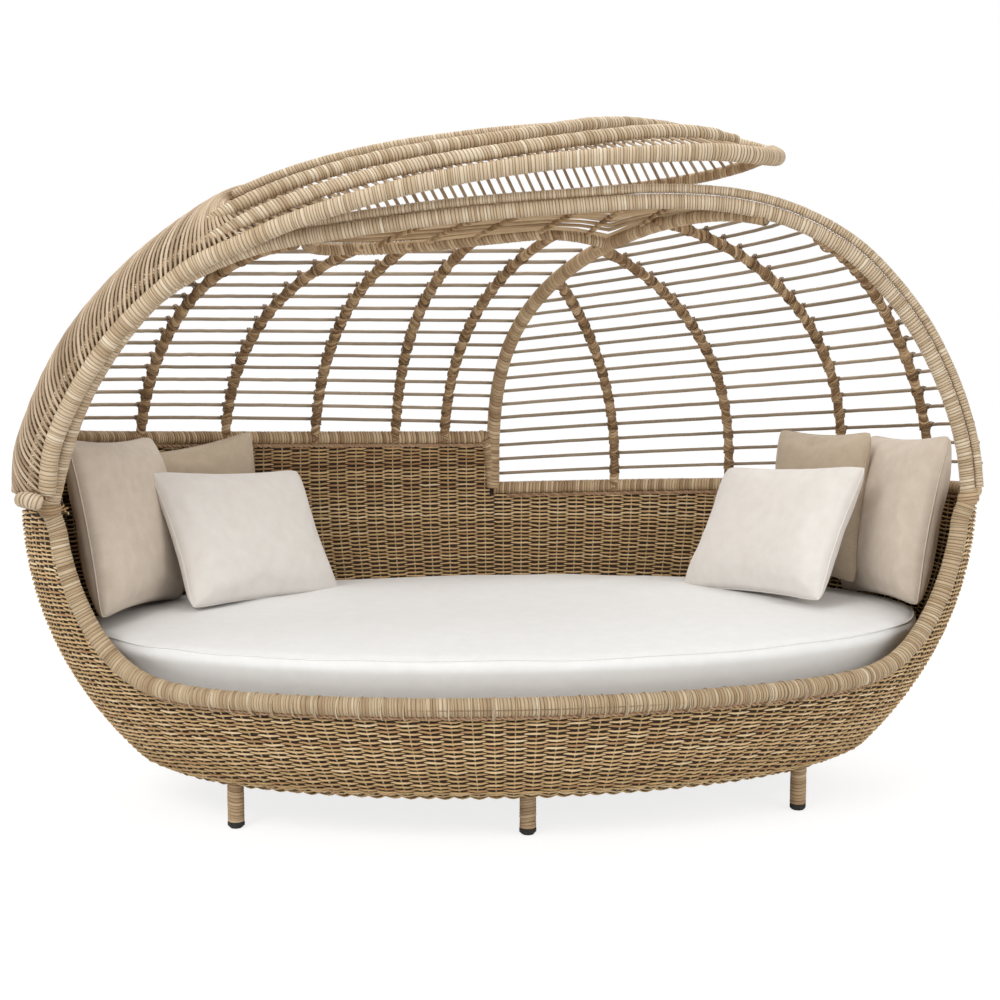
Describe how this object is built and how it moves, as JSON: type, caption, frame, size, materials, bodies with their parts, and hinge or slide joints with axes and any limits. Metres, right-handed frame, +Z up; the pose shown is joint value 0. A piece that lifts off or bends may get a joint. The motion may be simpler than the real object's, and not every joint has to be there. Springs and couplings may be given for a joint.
{
  "type": "canopy daybed",
  "caption": "Woven oval daybed on short legs with a ribbed cane canopy over the back, a raised slatted visor, a loose seat cushion and loose pillows",
  "frame": {"origin": "on the floor, below the middle of the whole part's outer box", "axes": "+X to the right of a person who faces the open front, along the longest side; -Y out of the open front, +Y to the back; +Z up"},
  "size_m": [2.1378, 1.1212, 1.4931],
  "materials": {
    "light_wrap": "matte",
    "tan_wrap": "matte",
    "rib_wrap": "matte",
    "rod_cane": "matte",
    "bowl_weave": "matte",
    "glide": "matte",
    "seat_frame": "satin",
    "deck": "matte",
    "cream_cloth": "matte",
    "beige_cloth": "matte",
    "taupe_cloth": "matte"
  },
  "bodies": {
    "daybed": {"front_arch": "light_wrap", "arch_bead": "light_wrap", "front_rim": "light_wrap", "left_rail": "tan_wrap", "right_rail": "tan_wrap", "seam_rib": "rib_wrap", "collar_left": "tan_wrap", "collar_right": "tan_wrap", "visor_base_rail": "light_wrap", "visor_front_rail": "light_wrap", "visor_top_rib": "tan_wrap", "visor_rear_rail": "tan_wrap", "visor_lower_rib": "tan_wrap", "visor_upper_rib": "tan_wrap", "visor_strands": "tan_wrap", "bowl": "bowl_weave", "ridge_beam": "rib_wrap", "left_rib_1": "rib_wrap", "left_rib_2": "rib_wrap", "left_rib_3": "rib_wrap", "left_rib_4": "rib_wrap", "left_rib_5": "rib_wrap", "right_rib_1": "rib_wrap", "right_rib_2": "rib_wrap", "right_rib_3": "rib_wrap", "right_rib_4": "rib_wrap", "left_rods": "rod_cane", "right_rods": "rod_cane", "roof_rods": "rod_cane", "leg_front_left": "light_wrap", "glide_front_left": "glide", "leg_front_middle": "light_wrap", "glide_front_middle": "glide", "leg_front_right": "light_wrap", "glide_front_right": "glide", "leg_back_left": "light_wrap", "glide_back_left": "glide", "leg_back_middle": "light_wrap", "glide_back_middle": "glide", "leg_back_right": "light_wrap", "glide_back_right": "glide", "seat_ring": "seat_frame", "cross_bar_left": "seat_frame", "cross_bar_middle": "seat_frame", "cross_bar_right": "seat_frame", "seat_deck": "deck"},
    "cushion": {"seat_cushion": "cream_cloth"},
    "cream_pillow_left": {"pillow_cream_left": "cream_cloth"},
    "cream_pillow_right": {"pillow_cream_right": "cream_cloth"},
    "beige_pillow_left": {"pillow_beige_left": "beige_cloth"},
    "beige_pillow_right": {"pillow_beige_right": "beige_cloth"},
    "taupe_pillow_left": {"pillow_taupe_left": "taupe_cloth"},
    "taupe_pillow_right": {"pillow_taupe_right": "taupe_cloth"}
  },
  "joints": [
    {"name": "cushion_lift", "type": "slide", "parent": "daybed", "child": "cushion", "axis": [0, -0.3192, 0.9477], "range_m": [0, 0.03]},
    {"name": "cream_left_lift", "type": "slide", "parent": "cushion", "child": "cream_pillow_left", "axis": [0, 0, 1], "range_m": [0, 0.15]},
    {"name": "cream_right_lift", "type": "slide", "parent": "cushion", "child": "cream_pillow_right", "axis": [0, 0, 1], "range_m": [0, 0.15]},
    {"name": "beige_left_lift", "type": "slide", "parent": "cushion", "child": "beige_pillow_left", "axis": [-0.249, -0.0697, 0.966], "range_m": [0, 0.03]},
    {"name": "beige_right_shift", "type": "slide", "parent": "cushion", "child": "beige_pillow_right", "axis": [0.0199, -0.9657, 0.2589], "range_m": [0, 0.03]},
    {"name": "taupe_left_shift", "type": "slide", "parent": "cushion", "child": "taupe_pillow_left", "axis": [0.8804, 0.2201, 0.4202], "range_m": [0, 0.03]},
    {"name": "taupe_right_lift", "type": "slide", "parent": "cushion", "child": "taupe_pillow_right", "axis": [-0.0697, -0.249, 0.966], "range_m": [0, 0.1]}
  ]
}
